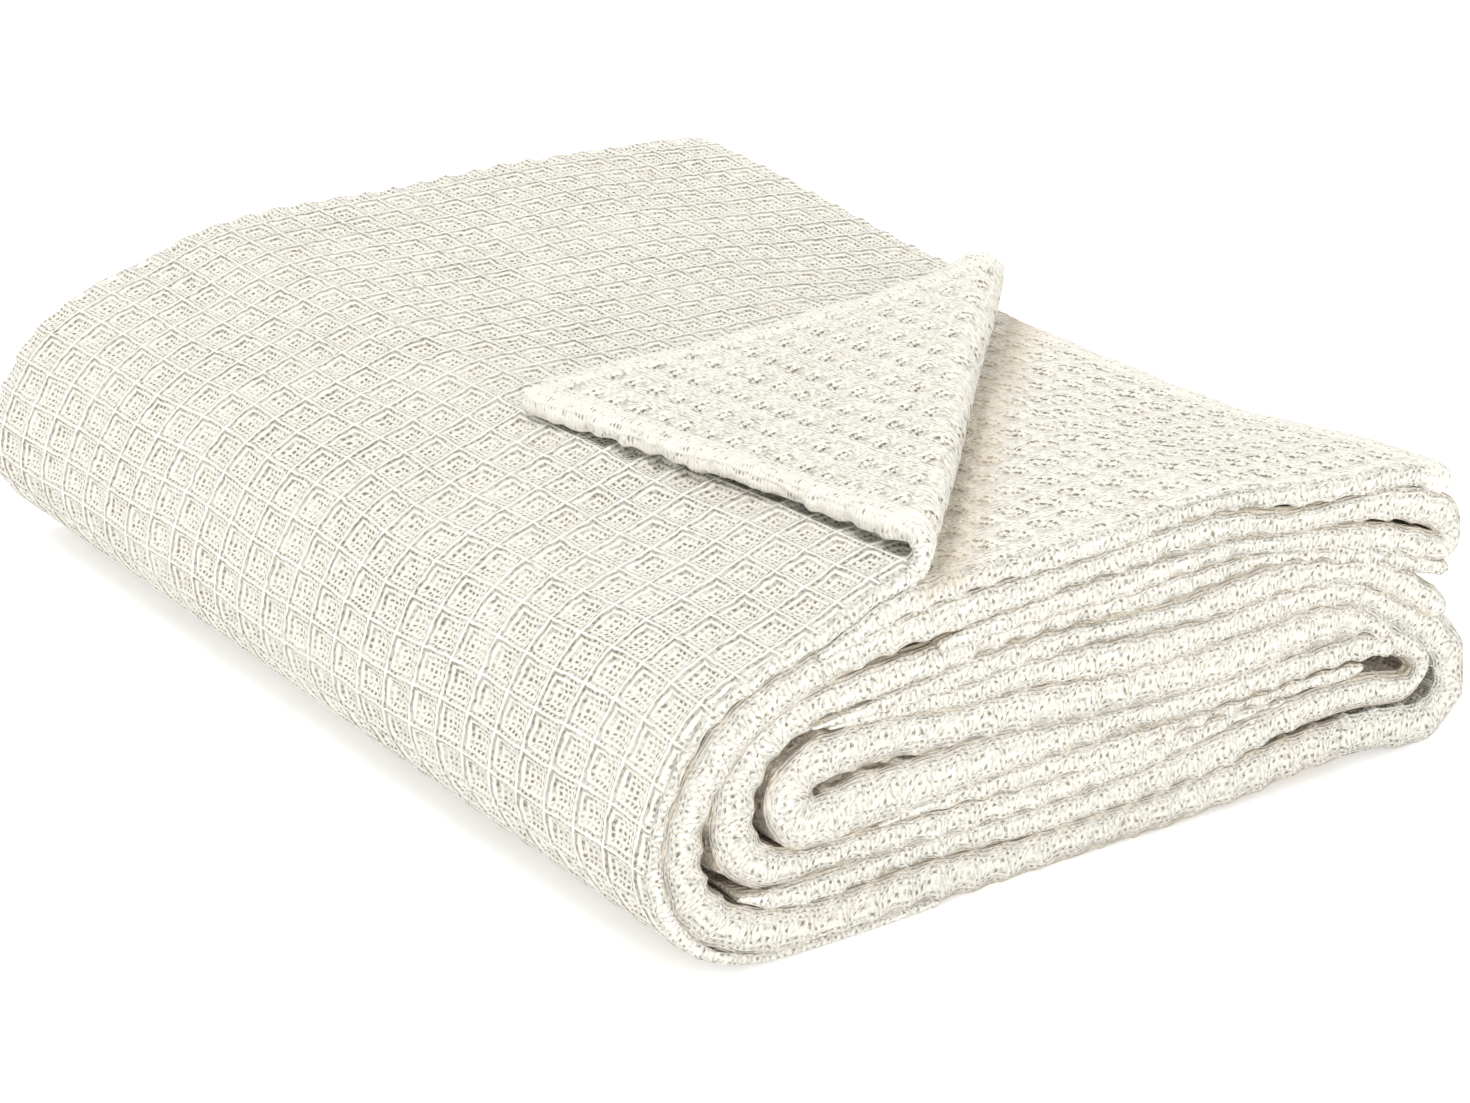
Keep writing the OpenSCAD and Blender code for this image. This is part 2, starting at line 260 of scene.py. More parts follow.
# ---------------------------------------------------------------- cloth
def uneven(cu, cv):
    """A number from 0 to 1 for each cell of the weave."""
    n = np.sin(np.floor(cu) * 12.9898 + np.floor(cv) * 78.233) * 43758.5453
    return n - np.floor(n)


def face_relief(cu, cv):
    """Depth share, 0 on a ridge and -1 at the bottom of a square pocket."""
    r = np.maximum(np.abs(2 * (cu % 1) - 1), np.abs(2 * (cv % 1) - 1))
    p = np.clip((0.90 - r) / 0.90, 0, 1)
    return -(1 - (1 - p) ** 1.6) * (0.84 + 0.28 * uneven(cu, cv))


def back_relief(cu, cv):
    """A broad smooth lattice with small pockets, steeper on their far walls."""
    a, b = 2 * (cu % 1) - 1, 2 * (cv % 1) - 1
    r = (np.abs(a) ** 3 + np.abs(b) ** 3) ** (1 / 3)
    pocket = smooth(0, 1, np.clip((0.84 - r) / 0.6, 0, 1))
    return -pocket * (0.78 + 0.3 * (a + b)) * (0.8 + 0.3 * uneven(cu, cv))


def warp(u, v):
    """Weave coordinates in cells, with the slight wander that the threads have."""
    cu = u / CELL_U + 0.07 * np.sin(v / 33 + u / 51) + 0.05 * np.sin(v / 13 - u / 29 + 1.3)
    cv = v / CELL_V + 0.5 + 0.06 * np.sin(u / 27 - v / 57 + 1) + 0.03 * np.sin(u / 11 + 2)
    return cu, cv


def edge_lumps(at_edge, r, uu, v, cu, y0):
    """Small unevenness of a rounded long edge: one bump per cell, some short ones and two slow waves."""
    short = np.sin(uu / 3.1 + v / 2.3 + y0) * np.sin(uu / 7.3 - v / 3.7 + y0 * 5)
    slow = 0.7 * np.sin(uu / 31 + y0 * 7) + 0.45 * np.sin(uu / 13.7 + y0 * 11)
    return at_edge * smooth(1.5, 3.5, r) * (0.28 * np.cos(2 * math.pi * cu) + 0.5 * short + slow)


def strip(path, ua, ub, y0=0.0, y1=DEPTH, per_cell=12, outer=12, inner=0, depth=(2.6, 1.9),
          far_outer=None, caps=(True, True), hem_end=0.0, side_hem=False, faces=("face", "face"),
          roll=12, show=False):
    """A closed strip of cloth in flat coordinates, woven on both sides, with soft rounded long edges.

    outer and inner are rows per cell on the two sides, 0 for a hidden side that needs only a few.
    far_outer is outer's value past the near 225 mm. show keeps the painted beige shade off the near edge."""
    n = max(8, int((ub - ua) / CELL_U * per_cell))
    u = np.linspace(ua, ub, n)
    scale = np.ones(n)
    half_a, half_b = (np.interp(v, path.s, path.t) / 2 for v in (ua, ub))
    beta = np.radians([82, 55, 28])
    if caps[0]:
        u, scale = np.r_[ua - half_a * np.sin(beta), u], np.r_[np.cos(beta), scale]
    if caps[1]:
        u, scale = np.r_[u, ub + half_b * np.sin(beta[::-1])], np.r_[scale, np.cos(beta[::-1])]
    r = (np.interp(np.clip(u, ua, ub), path.s, path.t) / 2)[:, None]

    def rows(per):
        """Shares of the width at which a side has rows of vertices."""
        if not per:
            edge = np.arange(1.2, 15.1, 1.25)
            mid = np.linspace(24, y1 - y0 - 24, 12)
            return np.r_[edge, mid, y1 - y0 - edge[::-1]] / (y1 - y0)
        body = np.arange(1.2, y1 - y0 - 1.2, CELL_V / per)
        if far_outer:
            keep = y0 + 225
            body = np.r_[body[body < keep], np.arange(keep, y1 - y0 - 1.2, CELL_V / far_outer)]
        return body / (y1 - y0)

    ry = np.minimum(r, EDGE_RADIUS)
    span = y1 - y0 - 2 * ry
    alpha = np.linspace(-math.pi / 2, math.pi / 2, roll)[None, :]
    sin_a = np.sign(np.sin(alpha)) * np.abs(np.sin(alpha)) ** EDGE_POWER
    cos_a = np.abs(np.cos(alpha)) ** EDGE_POWER
    fo = rows(outer)[None, :]
    fi = (rows(inner) if inner else np.array([0.02, 0.06, 0.2, 0.5, 0.8, 0.94, 0.98]))[None, :]
    middle = fi.shape[1] // 2
    fi_near, fi_far = fi[:, : middle + 1][:, ::-1], fi[:, middle + 1 :][:, ::-1]
    top_end = r * math.pi / 2 + span
    far_end = top_end + r * math.pi
    parts = [  # y, h, normal y, normal h, length round the section
        (y0 + ry + fi_near * span, -r * np.ones_like(fi_near), 0, -1, -r * math.pi / 2 - fi_near * span),
        (y0 + ry - ry * cos_a, r * sin_a, -np.cos(alpha), np.sin(alpha), r * alpha),
        (y0 + ry + fo * span, r * np.ones_like(fo), 0, 1, r * math.pi / 2 + fo * span),
        (y1 - ry + ry * cos_a, -r * sin_a, np.cos(alpha), -np.sin(alpha),
         top_end + r * (math.pi / 2 + alpha)),
        (y0 + ry + fi_far * span, -r * np.ones_like(fi_far), 0, -1, far_end + (1 - fi_far) * span),
    ]
    size = [(len(u), a.shape[1]) for a, *_ in parts]
    y, h, ny, nh, v = (
        np.concatenate([np.broadcast_to(np.asarray(p[c], float), s) for p, s in zip(parts, size)], 1)
        for c in range(5)
    )
    is_inner = np.concatenate([np.full(s[1], i in (0, 4)) for i, s in enumerate(size)])[None, :]
    uu = np.broadcast_to(u[:, None], y.shape)
    cu, cv = warp(uu, v)
    back = smooth(0.3, 0.8, -nh) if faces == ("face", "back") else np.zeros_like(y)
    if faces == ("back", "face"):
        back = smooth(0.3, 0.8, nh)
    if faces == ("back", "back"):
        back = np.ones_like(y)
    hem = np.zeros_like(y)
    x, _, _, _ = path.at(uu)
    corner_only = smooth(0, 14, past_fold(x, y)) if side_hem else 1.0
    if hem_end:
        hem = np.maximum(hem, (1 - smooth(hem_end - 1.0, hem_end + 0.6, ub - uu)) * corner_only)
    if side_hem:
        near = 1 - smooth(8.6, 10.2, np.minimum(np.abs(v), 60))
        hem = np.maximum(hem, near * corner_only * (uu > TOP_FROM))
    relief = (1 - back) * depth[0] * face_relief(cu, cv) + back * depth[1] * back_relief(cu, cv)
    relief = relief * (1 - 0.9 * hem)
    at_edge = 1 - smooth(0.75, 1.0, np.abs(nh))
    relief = relief * (1 - at_edge * (1 - 0.22 * smooth(1.5, 6, r))) * smooth(1.5, 3.1, r)
    lumps = edge_lumps(at_edge, r, uu, v, cu, y0)
    rumple = 0.35 * np.sin(uu / 1.9 + v / 2.3) * np.sin(uu / 3.1 - v / 1.7 + 1)
    rumple = rumple + 0.3 * np.sin(uu / 4.7 + v / 6.1)
    hidden = np.zeros_like(y)
    if not inner:
        hidden = np.maximum(hidden, is_inner * smooth(2, 8, y - y0 - r) * smooth(2, 8, y1 - r - y))
    if not outer:
        hidden = np.maximum(hidden, (nh > 0.99) * smooth(9, 14, y - y0 - r) * smooth(9, 14, y1 - r - y))
    relief = relief * (1 - hidden) - 0.8 * hidden
    gone = np.clip(1 - scale[:, None], 0, 1)
    puff = 0
    if hem_end:
        across = np.clip((ub - uu + 2) / (hem_end + 2), 0, 1)
        puff = 1.1 * hem * np.sqrt(np.clip(np.sin(math.pi * across), 0, 1))
    if side_hem:
        free = 1 - smooth(0.2, 0.8, nh)  # 0 on the side that the turned corner rests on: it stays flat
        puff = np.maximum(puff, 1.4 * near * corner_only) * free
        rumple = rumple * free
    move = (relief + puff + rumple * hem + lumps) * (1 - gone)
    y, h = y + ny * move, (h + nh * move) * scale[:, None]
    rows_n, ring = y.shape
    index = np.arange(rows_n * ring).reshape(rows_n, ring)
    nxt = np.roll(index, -1, 1)
    quads = np.stack([index[:-1], index[1:], nxt[1:], nxt[:-1]], -1).reshape(-1, 4)
    closing = far_end + (1 - fi_near[:, :1]) * span
    ux, vx = warp(np.concatenate([uu, uu[:, :1]], 1), np.concatenate([v, closing], 1))
    corner = lambda i, k: np.stack([ux[i, k], vx[i, k]], -1)
    lo, hi = slice(0, -1), slice(1, None)
    uv = np.stack([corner(lo, lo), corner(hi, lo), corner(hi, hi), corner(lo, hi)], 2).reshape(-1, 2)
    flat = np.stack([uu, y, h], -1).reshape(-1, 3)
    # painted shade: a beige tint on the upper and lower faces within about 24 mm of the near edge, where the
    # layers press together; none when show is set
    painted_shade = smooth(0.35, 1.0, np.abs(nh)) * (1 - smooth(6, 24, y - y0)) * (0 if show else 1)
    return {
        "flat": flat, "quads": quads, "uv": uv, "first": index[0], "last": index[-1][::-1],
        "ends": (corner(0, slice(0, -1)), corner(-1, slice(0, -1))[::-1]),
        "back": back.ravel(), "hem": hem.ravel(), "edge": at_edge.ravel(), "painted_shade": painted_shade.ravel(),
    }


def mesh_of(name, s, co):
    """A mesh from a strip's faces and these vertex positions."""
    mesh = bpy.data.meshes.new(name)
    nq, ring = len(s["quads"]), len(s["first"])
    loops = np.r_[s["quads"].ravel(), s["first"], s["last"]]
    mesh.vertices.add(len(co))
    mesh.vertices.foreach_set("co", co.astype(np.float32).ravel())
    mesh.loops.add(len(loops))
    mesh.loops.foreach_set("vertex_index", loops.astype(np.int32))
    mesh.polygons.add(nq + 2)
    starts = np.r_[np.arange(nq) * 4, nq * 4, nq * 4 + ring]
    mesh.polygons.foreach_set("loop_start", starts.astype(np.int32))
    mesh.update(calc_edges=True)
    layer = mesh.uv_layers.new(name="weave")
    uv = np.r_[s["uv"], s["ends"][0], s["ends"][1]]
    layer.data.foreach_set("uv", uv.astype(np.float32).ravel())
    for key in ("back", "hem", "edge", "painted_shade"):
        a = mesh.attributes.new(key, "FLOAT", "POINT")
        a.data.foreach_set("value", s[key].astype(np.float32))
    mesh.polygons.foreach_set("use_smooth", np.r_[np.ones(nq, bool), False, False])
    mesh.validate()
    return mesh


def finish_piece(name, mesh, replaced=(), body=None):
    obj = bpy.data.objects.new(name, mesh)
    bpy.context.scene.collection.objects.link(obj)
    mesh.materials.append(WAFFLE)
    if replaced:
        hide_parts(*replaced)
    if body:
        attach(obj, body)
    return obj


def plain_strip(name, path, ua, ub, replaced, slot="waffle_face", body="stack", **how):
    s = strip(path, ua, ub, **how)
    return finish_piece(name, mesh_of(name, s, place(path, s["flat"])), replaced, body)


def seam_normals(s, limit, points):
    """Normals of the uncut cloth at points on a cut line: the pieces on its two sides shade as one."""
    co = place_outer(s["flat"])
    x, _, _, _ = OUTER.at(s["flat"][:, 0])
    near = np.abs(past_fold(x, s["flat"][:, 1]) - limit) < 5
    quads = s["quads"][near[s["quads"]].any(1)]
    used, quads = np.unique(quads, return_inverse=True)
    quads, co = quads.reshape(-1, 4), co[used]
    normal = np.zeros_like(co)
    face = np.cross(co[quads[:, 2]] - co[quads[:, 0]], co[quads[:, 3]] - co[quads[:, 1]])
    for k in range(4):
        np.add.at(normal, quads[:, k], face)
    normal /= np.linalg.norm(normal, axis=1)[:, None] + 1e-30
    tree = BVHTree.FromPolygons([Vector(p) for p in co], [tuple(map(int, q)) for q in quads])
    out = []
    for p in points:
        spot, _, index, _ = tree.find_nearest(Vector(p))
        share = poly_3d_calc([Vector(co[i]) for i in quads[index]], spot)
        out.append(Vector((np.array(share) @ normal[quads[index]])).normalized())
    return out


def cut_flat(name, s, low=None, high=None):
    """The part of the flat outer strip between two lines parallel to the diagonal fold, folded into place."""
    x, _, _, _ = OUTER.at(s["flat"][:, 0])
    mesh = mesh_of(name, s, np.c_[x, s["flat"][:, 1], s["flat"][:, 2]])
    keep_u = mesh.attributes.new("u", "FLOAT", "POINT")
    keep_u.data.foreach_set("value", s["flat"][:, 0].astype(np.float32))
    bm = bmesh.new()
    bm.from_mesh(mesh)
    for limit, outer in ((low, False), (high, True)):
        if limit is None:
            continue
        cut = bmesh.ops.bisect_plane(
            bm, geom=bm.verts[:] + bm.edges[:] + bm.faces[:],
            plane_co=(FOLD_X + limit * ACROSS[0], limit * ACROSS[1], 0), plane_no=(*ACROSS, 0),
            clear_outer=outer, clear_inner=not outer, dist=1e-5,
        )
        edges = [e for e in cut["geom_cut"] if isinstance(e, bmesh.types.BMEdge) and e.is_boundary]
        bmesh.ops.holes_fill(bm, edges=edges, sides=0)
    bm.to_mesh(mesh)
    bm.free()
    co = np.zeros(len(mesh.vertices) * 3, np.float32)
    mesh.vertices.foreach_get("co", co)
    co = co.reshape(-1, 3).astype(float)
    u = np.zeros(len(mesh.vertices), np.float32)
    mesh.attributes["u"].data.foreach_get("value", u)
    done = place_outer(np.c_[u.astype(float), co[:, 1], co[:, 2]])
    mesh.vertices.foreach_set("co", done.astype(np.float32).ravel())
    mesh.attributes.remove(mesh.attributes["u"])
    mesh.polygons.foreach_set("use_smooth", np.array([len(p.vertices) < 7 for p in mesh.polygons]))
    mesh.update()
    if CUT_FLAP in (low, high):
        seam = np.nonzero(np.abs(past_fold(co[:, 0], co[:, 1]) - CUT_FLAP) < 0.01)[0]
        normals = [(0.0, 0.0, 0.0)] * len(mesh.vertices)
        for i, n in zip(seam, seam_normals(s, CUT_FLAP, done[seam])):
            normals[i] = tuple(n)
        mesh.normals_split_custom_set_from_vertices(normals)
    return mesh


# ---------------------------------------------------------------- material
def waffle_material():
    mat = bpy.data.materials.new("waffle_cotton")
    mat.use_nodes = True
    tree = mat.node_tree
    tree.nodes.clear()
    new, link = tree.nodes.new, tree.links.new

    def put(socket, value):
        if isinstance(value, bpy.types.NodeSocket):
            link(value, socket)
        else:
            socket.default_value = value

    def m(op, a, b=0.0, c=0.0, clamp=False):
        node = new("ShaderNodeMath")
        node.operation, node.use_clamp = op, clamp
        for k, value in enumerate((a, b, c)):
            put(node.inputs[k], value)
        return node.outputs[0]

    def step(a, b, x):
        node = new("ShaderNodeMapRange")
        node.interpolation_type = "SMOOTHSTEP"
        put(node.inputs["Value"], x)
        node.inputs["From Min"].default_value, node.inputs["From Max"].default_value = a, b
        return node.outputs["Result"]

    def attribute(name):
        node = new("ShaderNodeAttribute")
        node.attribute_name = name
        return node.outputs["Fac"]

    def noise(scale, detail=2.0, rough=0.5):
        node = new("ShaderNodeTexNoise")
        link(coords.outputs["Object"], node.inputs["Vector"])
        node.inputs["Scale"].default_value = scale
        node.inputs["Detail"].default_value = detail
        node.inputs["Roughness"].default_value = rough
        return node.outputs["Fac"]

    def mix(a, b, share):
        node = new("ShaderNodeMix")
        node.data_type = "RGBA"
        put(node.inputs["Factor"], share)
        for key, value in (("A", a), ("B", b)):
            socket = [s for s in node.inputs if s.name == key and s.type == "RGBA"][0]
            put(socket, value)
        return [s for s in node.outputs if s.type == "RGBA"][0]

    coords = new("ShaderNodeTexCoord")
    uv = new("ShaderNodeUVMap")
    uv.uv_map = "weave"
    parts = new("ShaderNodeSeparateXYZ")
    link(uv.outputs["UV"], parts.inputs[0])
    wobble = m("MULTIPLY", m("SUBTRACT", noise(230, 3), 0.5), 0.13)
    cu, cv = m("ADD", parts.outputs["X"], wobble), m("SUBTRACT", parts.outputs["Y"], wobble)
    su = m("SUBTRACT", m("MULTIPLY", m("FRACT", cu), 2.0), 1.0)
    sv = m("SUBTRACT", m("MULTIPLY", m("FRACT", cv), 2.0), 1.0)
    au, av = m("ABSOLUTE", su), m("ABSOLUTE", sv)
    r = m("MAXIMUM", au, av)
    pick = m("GREATER_THAN", au, av)
    along_v = m("MULTIPLY", pick, m("MULTIPLY", sv, CELL_V / 2))
    along_u = m("MULTIPLY", m("SUBTRACT", 1.0, pick), m("MULTIPLY", su, CELL_U / 2))
    along = m("ADD", along_v, along_u)
    grain = noise(1500, 3, 0.6)
    blotch = noise(420, 2)
    # face: painted shade in the gaps between threads, as concentric squares down each pocket, solid on the far
    # wall turned from the light and dotted elsewhere
    ring = m("COSINE", m("MULTIPLY", m("SUBTRACT", 1.0, r), 2 * math.pi * 3.55))
    dash = m("COSINE", m("MULTIPLY", along, 2 * math.pi / 2.15))
    low = m("MULTIPLY", m("SUBTRACT", 1.0, ring), 0.5)
    line = step(0.42, 0.86, m("ADD", low, m("MULTIPLY", m("SUBTRACT", grain, 0.5), 0.4)))
    wall = step(0.15, 0.75, m("ADD", m("MULTIPLY", sv, 0.8), m("MULTIPLY", su, 0.35)))
    dots = step(-0.35, 0.45, m("ADD", dash, m("MULTIPLY", m("SUBTRACT", blotch, 0.5), 2.2)))
    broken = step(0.38, 0.58, blotch)
    patchy = m("ADD", 0.42, m("MULTIPLY", broken, 0.58))
    solid = m("MULTIPLY", wall, m("ADD", 0.30, m("MULTIPLY", broken, 0.50)))
    # painted shade: a dark line just inside each ridge, stronger on the wall turned from the light
    rim = m("MULTIPLY", step(0.70, 0.80, r), m("ADD", 0.30, m("MULTIPLY", wall, 0.35)))
    strength = m("MAXIMUM", m("MAXIMUM", solid, m("MULTIPLY", dots, patchy)), rim)
    pocket = m("SUBTRACT", 1.0, step(0.88, 0.95, r))
    face_gap = m("MULTIPLY", m("MULTIPLY", m("MULTIPLY", line, strength), pocket), 0.92)
    # painted shade mask: 1 down in each pocket, 0 on the ridges
    inside = m("SUBTRACT", 1.0, step(0.70, 0.93, r))
    face_high = m("ADD", m("MULTIPLY", ring, 0.30), m("MULTIPLY", dash, 0.10))
    # back: a broad lattice, with painted shade as dark arcs on each cell's far wall, turned from the light,
    # and fine painted shade lines between threads
    q = m("SQRT", m("ADD", m("MULTIPLY", su, su), m("MULTIPLY", sv, sv)))
    arc = m("COSINE", m("MULTIPLY", q, 2 * math.pi * 3.3))
    arc_low = m("MULTIPLY", m("SUBTRACT", 1.0, arc), 0.5)
    small = m("SUBTRACT", 1.0, step(0.80, 1.0, q))
    far = step(-0.1, 0.45, m("MULTIPLY", m("ADD", sv, su), 0.7))
    dashed_arc = m("MULTIPLY", arc_low, m("ADD", 0.75, m("MULTIPLY", dash, 0.25)))
    arc_line = step(0.45, 0.85, m("ADD", dashed_arc, m("MULTIPLY", m("SUBTRACT", blotch, 0.5), 1.2)))
    far_share = m("MULTIPLY", m("ADD", 0.22, m("MULTIPLY", far, 0.78)), patchy)
    back_gap = m("MULTIPLY", m("MULTIPLY", arc_line, small), far_share)
    rib = m("COSINE", m("MULTIPLY", cu, 2 * math.pi * 8))
    fine = step(0.2, 0.9, m("COSINE", m("MULTIPLY", cv, 2 * math.pi * 9)))
    back_fine = m("MULTIPLY", fine, step(0.45, 0.6, blotch))
    back_gap = m("MAXIMUM", back_gap, m("MULTIPLY", back_fine, 0.52))
    back_high = m("ADD", m("MULTIPLY", arc, 0.18), m("MULTIPLY", rib, 0.20))
    # hem: folded over and pressed, with fine ribs across it and painted shade between the ribs in patches
    ribs_u, ribs_v = (m("COSINE", m("MULTIPLY", c, 2 * math.pi * 7)) for c in (cu, cv))
    ribs = m("ADD", ribs_u, ribs_v)
    hem_high = m("MULTIPLY", ribs, 0.22)
    between = step(0.1, 0.8, m("MULTIPLY", ribs, -0.5))
    hem_gap = m("MULTIPLY", m("MULTIPLY", step(0.50, 0.68, blotch), between), 0.8)
    # rounded edges: rows of short stitches along the fold, with painted shade between them
    sway = m("MULTIPLY", m("SINE", m("MULTIPLY", cu, 2 * math.pi)), 0.3)
    row_at = m("ADD", m("MULTIPLY", cv, CELL_V / 1.9), m("ADD", sway, m("MULTIPLY", blotch, 0.45)))
    row = m("COSINE", m("MULTIPLY", row_at, 2 * math.pi))
    shift = m("ADD", m("MULTIPLY", blotch, 0.7), m("MULTIPLY", m("FLOOR", row_at), 0.37))
    stitch_at = m("ADD", m("MULTIPLY", cu, CELL_U / 2.5), shift)
    stitch = m("COSINE", m("MULTIPLY", stitch_at, 2 * math.pi))
    row_low = step(0.25, 0.95, m("MULTIPLY", row, -1.0))
    edge_gap = m("MULTIPLY", row_low, step(-0.2, 0.6, stitch))
    edge_gap = m("MULTIPLY", edge_gap, m("ADD", 0.25, m("MULTIPLY", broken, 0.65)))
    stitch_high = m("ADD", m("MULTIPLY", stitch, 0.18), m("MULTIPLY", ring, 0.14))
    edge_high = m("ADD", m("MULTIPLY", row, 0.32), stitch_high)
    back, hem, edge = attribute("back"), attribute("hem"), attribute("edge")

    def choose(a, b, share):
        return m("ADD", m("MULTIPLY", a, m("SUBTRACT", 1.0, share)), m("MULTIPLY", b, share))

    edge_gap = m("MAXIMUM", edge_gap, m("MULTIPLY", face_gap, 0.42))
    gap_shade = choose(choose(choose(face_gap, back_gap, back), edge_gap, edge), hem_gap, hem)
    gap_shade = m("MULTIPLY", gap_shade, m("ADD", 0.62, m("MULTIPLY", noise(30, 2), 0.80)), clamp=True)
    high = choose(choose(choose(face_high, back_high, back), edge_high, edge), hem_high, hem)
    # painted shade mask for the back side: darker inside each small cell
    back_inside = m("ADD", 0.72, m("MULTIPLY", small, 0.4))
    inside = choose(choose(choose(inside, back_inside, back), 0.85, edge), 0.8, hem)
    high = m("ADD", high, m("MULTIPLY", grain, 0.55))
    high = m("SUBTRACT", high, m("MULTIPLY", gap_shade, 0.35))
    tone = noise(38, 3)
    base = mix((0.90, 0.88, 0.805, 1), (0.86, 0.835, 0.745, 1), step(0.35, 0.75, tone))
    base = mix(base, (0.94, 0.93, 0.885, 1), m("MULTIPLY", grain, 0.55))
    # painted shade: the base is darker down each pocket, and evenly a little darker on the rounded edges and
    # hems
    base = mix(base, (0.78, 0.735, 0.63, 1), m("MULTIPLY", inside, 0.34))
    # painted shade: dark brown in the gaps between threads, stronger on walls turned from the light
    colour = mix(base, (0.21, 0.18, 0.12, 1), m("MULTIPLY", gap_shade, 0.96))
    # painted shade: a beige tint mixed in by the per-vertex shade attribute
    beige = mix(base, (0.62, 0.50, 0.34, 1), 0.75)
    colour = mix(colour, beige, m("MULTIPLY", attribute("painted_shade"), 0.72))
    bump = new("ShaderNodeBump")
    bump.inputs["Strength"].default_value = 1.0
    bump.inputs["Distance"].default_value = 0.0010
    link(high, bump.inputs["Height"])
    shader = new("ShaderNodeBsdfPrincipled")
    link(colour, shader.inputs["Base Color"])
    link(bump.outputs["Normal"], shader.inputs["Normal"])
    shader.inputs["Roughness"].default_value = 0.92
    shader.inputs["Specular IOR Level"].default_value = 0.15
    shader.inputs["Sheen Weight"].default_value = 0.25
    shader.inputs["Sheen Roughness"].default_value = 0.5
    out = new("ShaderNodeOutputMaterial")
    link(shader.outputs["BSDF"], out.inputs["Surface"])
    return mat


WAFFLE = waffle_material()

# ---------------------------------------------------------------- pieces
SEAM = OUTER.where_x(SEAM_X, 60.0)
END = OUTER.length

s = strip(OUTER, 0, SEAM, caps=(True, False), show=True)
left_side = finish_piece(
    "left_side", mesh_of("left_side", s, place_outer(s["flat"])),
    ["outer_bottom_leaf"], "stack",
)

# The outer layer's top and its corner have separate meshes of the same flat cloth, cut beside the fold.
TOP_LAYER = dict(caps=(False, True), hem_end=HEM, side_hem=True, faces=("face", "back"), show=True)
s = strip(OUTER, SEAM, END, per_cell=10.4, outer=10, **TOP_LAYER)
top_cloth = finish_piece(
    "top_cloth", cut_flat("top_cloth", s, high=CUT),
    ["outer_left_fold", "top_leaf", "top_leaf_side_hem", "top_leaf_end_hem", "top_leaf_stitching"],
)
s = strip(OUTER, OUTER.where_x(75, PAST_TURN), END, inner=12, outer=6, **TOP_LAYER)
corner_turn = finish_piece(
    "corner_turn", cut_flat("corner_turn", s, low=CUT, high=CUT_FLAP), ["corner_flap"],
)
turned_corner = finish_piece(
    "turned_corner", cut_flat("turned_corner", s, low=CUT_FLAP),
    ["corner_flap", "flap_side_hem", "flap_end_hem", "flap_stitching"], "corner",
)

s = strip(SECOND, 0, SECOND.length, hem_end=HEM, far_outer=5, faces=("back", "face"), show=True)
x, _, _, _ = SECOND.at(s["flat"][:, 0])
past = past_fold(x, s["flat"][:, 1])  # painted shade, beige, just past the fold that lies over this cloth
s["painted_shade"] = 0.85 * smooth(-6, 1, past) * (1 - smooth(5, 17, past)) * (s["flat"][:, 2] > 0)
second_cloth = finish_piece(
    "second_cloth", mesh_of("second_cloth", s, place(SECOND, s["flat"])),
    ["second_leaf", "second_leaf_end_hem", "second_leaf_stitching"],
)

turn_in = WRAP.where_x(270, 100)
turn_out = WRAP.where_x(262, turn_in + 40)
top_in = WRAP.where_x(60, WRAP.length * 0.5)
wrap_upper = plain_strip(
    "wrap_upper", WRAP, 0, turn_in, ["middle_top_leaf"], outer=0, caps=(True, False), y0=0.6,
)
right_turn = plain_strip(
    "right_turn", WRAP, turn_in, turn_out, ["right_outer_fold"],
    outer=9, show=True, caps=(False, False), y0=0.6,
)
wrap_lower = plain_strip(
    "wrap_lower", WRAP, turn_out, top_in, ["wrap_bottom_leaf", "wrap_left_fold"],
    outer=0, caps=(False, False), y0=0.6,
)
wrap_top = plain_strip(
    "wrap_top", WRAP, top_in, WRAP.length, ["wrap_top_leaf", "right_upper_fold", "inner_end_leaf"],
    outer=7, per_cell=10, caps=(False, True), y0=0.6,
)
middle_wrap = plain_strip(
    "middle_wrap", MIDDLE, 0, MIDDLE.length,
    ["middle_left_fold", "middle_bottom_leaf", "inner_long_leaf"], outer=0, y0=1.6,
)
upper_wedge = plain_strip(
    "upper_wedge", UPPER_WEDGE, 0, UPPER_WEDGE.length, ["tucked_upper_leaf"], outer=0, y0=0.2,
)
core_roll = plain_strip(
    "core_roll", CORE, 0, CORE.length,
    ["core_upper_leaf", "core_left_fold", "core_lower_leaf", "right_inner_fold"], outer=0, y0=1.2,
)
lower_wedge = plain_strip(
    "lower_wedge", LOWER_WEDGE, 0, LOWER_WEDGE.length, ["tucked_fold", "tucked_lower_leaf"],
    outer=0, y0=1.8,
)


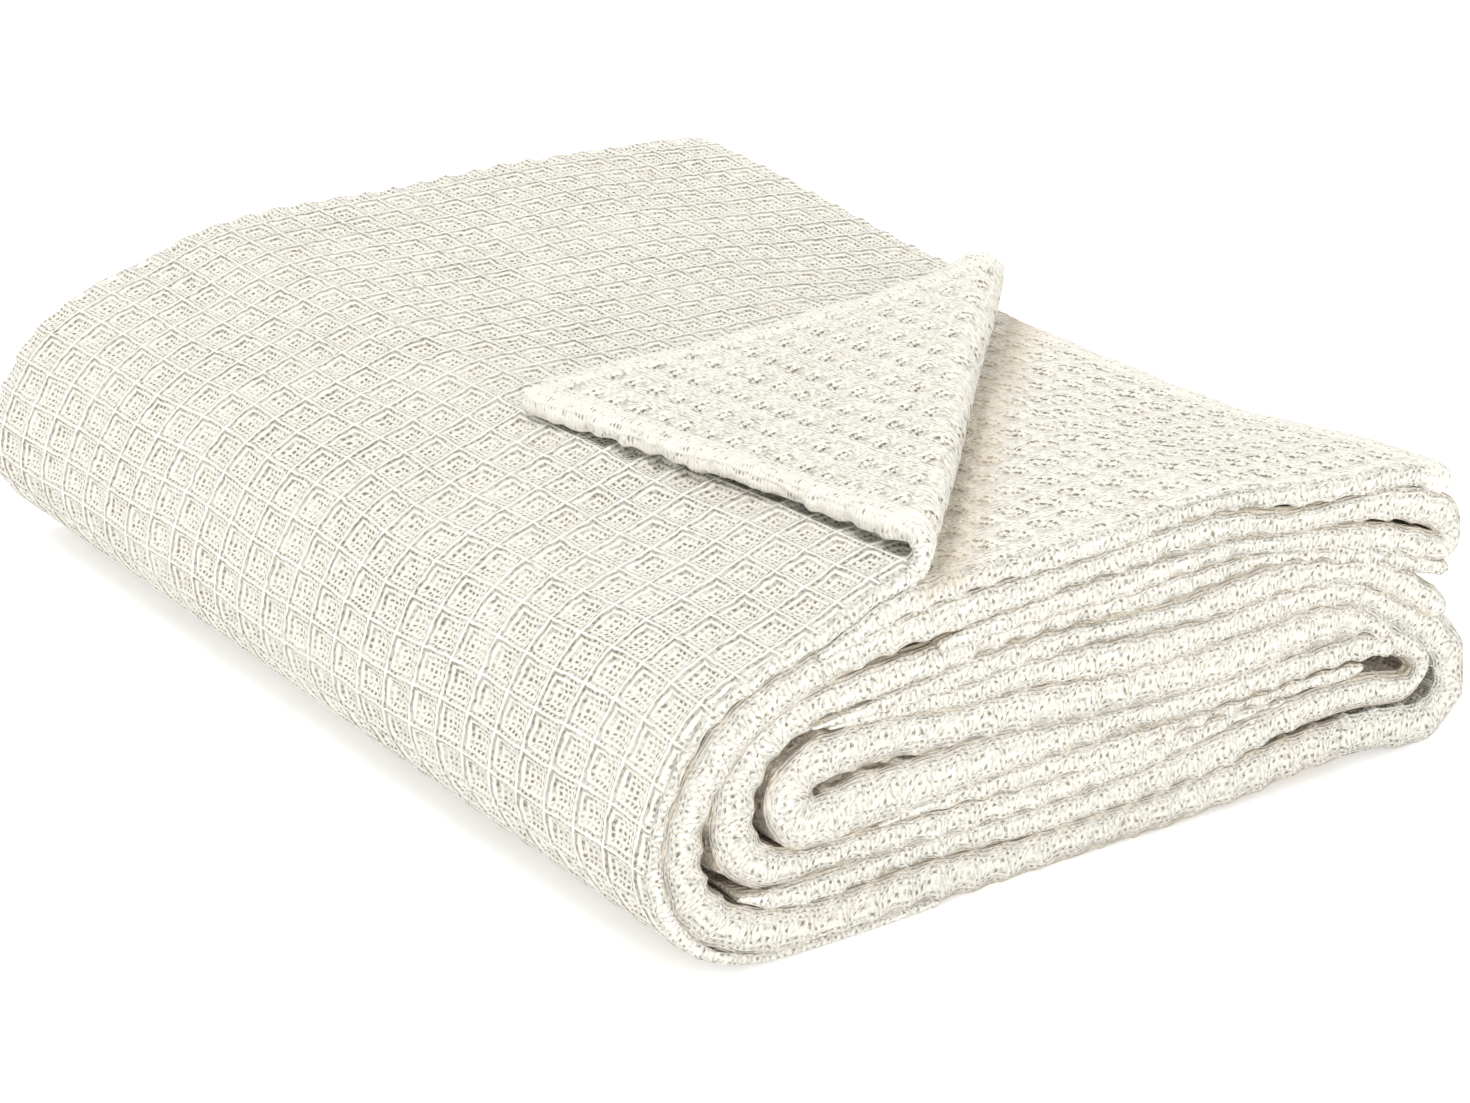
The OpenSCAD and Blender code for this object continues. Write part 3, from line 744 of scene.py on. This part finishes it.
def at(x, y, z):
    """A point in millimetres as a vector in the CAD frame."""
    return Vector(((x - WIDTH / 2) / 1000, (y - DEPTH / 2) / 1000, z / 1000))


for cloth in (top_cloth, second_cloth):
    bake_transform(cloth)
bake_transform(corner_turn)


# ---------------------------------------------------------------- studio
bpy.ops.mesh.primitive_plane_add(size=12)
floor = bpy.context.object
floor.name = "floor"
white = bpy.data.materials.new("floor_white")
white.use_nodes = True
surface = white.node_tree.nodes["Principled BSDF"].inputs
surface["Base Color"].default_value = (0.93, 0.93, 0.93, 1)
surface["Emission Color"].default_value = (1, 1, 1, 1)
surface["Emission Strength"].default_value = 0.28
surface["Roughness"].default_value = 1.0
surface["Specular IOR Level"].default_value = 0.0
floor.data.materials.append(white)

scene = bpy.context.scene
world = bpy.data.worlds.new("studio")
world.use_nodes = True
sky = world.node_tree.nodes["Background"].inputs
sky["Color"].default_value = (1.0, 0.995, 0.985, 1)
sky["Strength"].default_value = 0.90
scene.world = world


def sun(name, direction, strength, angle):
    data = bpy.data.lights.new(name, "SUN")
    data.energy, data.angle = strength, math.radians(angle)
    obj = bpy.data.objects.new(name, data)
    obj.rotation_mode = "QUATERNION"
    obj.rotation_quaternion = Vector(direction).to_track_quat("-Z", "Y")
    scene.collection.objects.link(obj)


sun("key", (0.33, -0.22, -0.95), 1.44, 20)
sun("fill", (0.15, 0.93, -0.34), 1.12, 45)

# The camera that was fitted to the stack's edges in the photo.
yaw, pitch = 0.615, 0.409
camera_data = bpy.data.cameras.new("camera")
camera_data.sensor_width, camera_data.lens = 36, 105.66
camera_data.clip_end = 20
camera = bpy.data.objects.new("camera", camera_data)
camera.location = (-0.75243, -1.08948, 0.60273)
look = Vector((math.sin(yaw) * math.cos(pitch), math.cos(yaw) * math.cos(pitch), -math.sin(pitch)))
camera.rotation_mode = "QUATERNION"
camera.rotation_quaternion = look.to_track_quat("-Z", "Y")
scene.collection.objects.link(camera)
scene.camera = camera
scene.view_settings.view_transform = "Standard"
